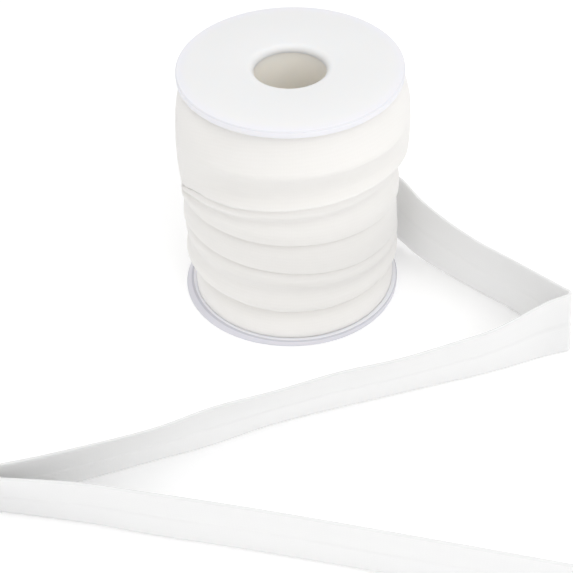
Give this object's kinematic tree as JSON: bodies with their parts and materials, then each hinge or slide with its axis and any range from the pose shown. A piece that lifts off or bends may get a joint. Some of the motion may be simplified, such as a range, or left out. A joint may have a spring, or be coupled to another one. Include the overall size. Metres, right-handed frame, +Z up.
{
  "type": "roll of fold-over elastic",
  "caption": "Roll of white fold-over elastic wound on an upright two-flange plastic spool, its loose end standing on edge and folded back and forth.",
  "frame": {"origin": "middle of the floor area that the roll and its loose end cover, at the floor", "axes": "+Z up, along the spool's axis; +X to the right and +Y away from the front, where the loose end runs out"},
  "size_m": [0.1426, 0.1448, 0.0667],
  "materials": {
    "spool_plastic": "moulded, satin, slightly translucent",
    "elastic": "fine knitted rib with a fold line along the middle"
  },
  "bodies": {
    "root": {"core_tube": "spool_plastic", "bottom_flange": "spool_plastic", "top_flange": "spool_plastic", "wound_elastic": "elastic", "loose_end": "elastic"}
  },
  "joints": []
}
